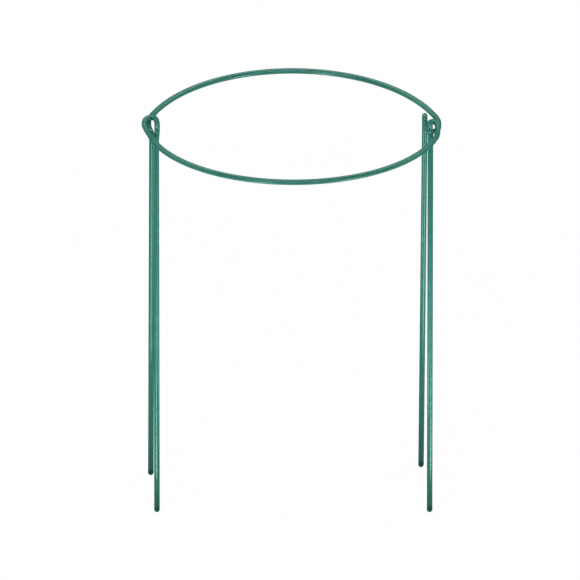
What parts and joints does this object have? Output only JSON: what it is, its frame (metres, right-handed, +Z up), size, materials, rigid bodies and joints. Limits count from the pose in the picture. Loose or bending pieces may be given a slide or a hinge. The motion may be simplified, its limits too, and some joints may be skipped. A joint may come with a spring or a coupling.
{
  "type": "half-round plant support",
  "caption": "Pair of half-round plant supports in plastic-coated wire that hook together into a full ring on long leaning legs.",
  "frame": {"origin": "middle of the footprint at ground level, under the feet", "axes": "+Z up along the legs, -Y towards the viewer of the picture and the front half's bulge, +X to the viewer's right"},
  "size_m": [0.2554, 0.2262, 0.3527],
  "materials": {
    "green_coat": "satin gloss",
    "green_seal": "satin gloss",
    "steel_core": "drawn wire"
  },
  "bodies": {
    "rear_half": {"rear_coating": "green_coat", "rear_core_wire": "steel_core", "rear_seal_left": "green_seal", "rear_seal_right": "green_seal"},
    "front_half": {"front_coating": "green_coat", "front_core_wire": "steel_core", "front_seal_left": "green_seal", "front_seal_right": "green_seal"}
  },
  "joints": [
    {"name": "front_half_lift", "type": "slide", "parent": "rear_half", "child": "front_half", "axis": [0, 0.0919, 0.9958], "range_m": [0, 0.37]}
  ]
}
